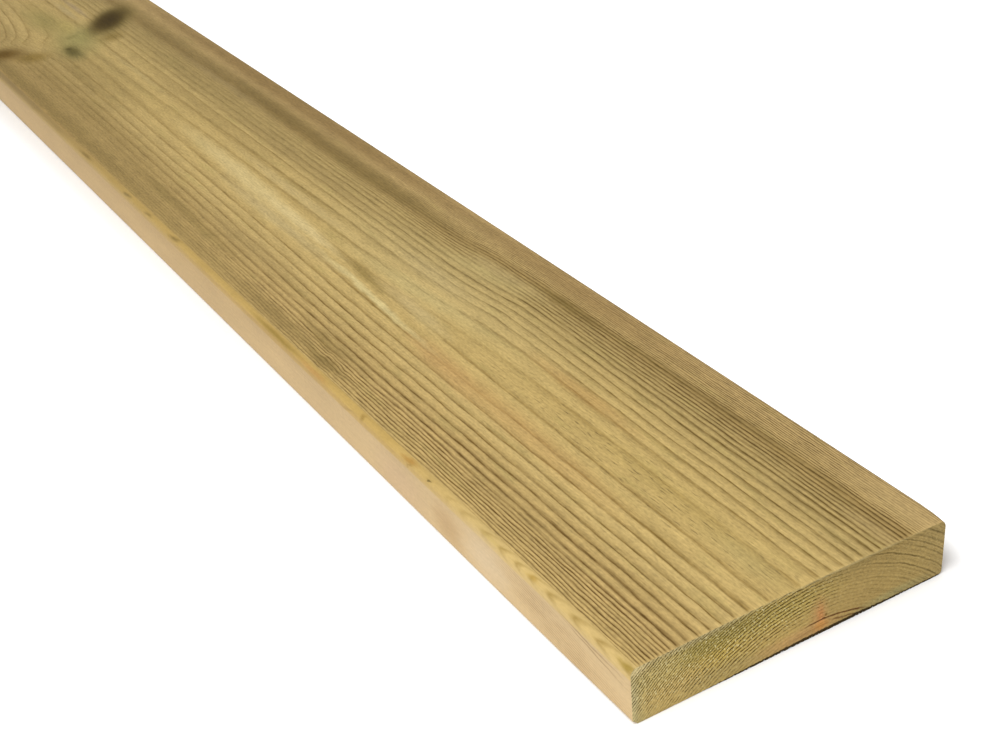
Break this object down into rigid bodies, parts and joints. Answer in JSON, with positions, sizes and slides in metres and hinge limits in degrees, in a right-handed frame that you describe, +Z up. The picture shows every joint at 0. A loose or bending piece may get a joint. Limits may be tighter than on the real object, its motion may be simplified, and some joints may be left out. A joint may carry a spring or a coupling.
{
  "type": "decking board",
  "caption": "Smooth planed softwood decking board with a slightly crowned top, rounded long edges and square sawn ends.",
  "frame": {"origin": "middle of the underside, on the floor the board lies on", "axes": "X along the length, Y across the width, Z up through the thickness to the crowned top face"},
  "size_m": [2.4, 0.145, 0.0259],
  "materials": {
    "treated_pine": "planed, pressure treated, dry"
  },
  "bodies": {
    "root": {"decking_board": "treated_pine"}
  },
  "joints": []
}
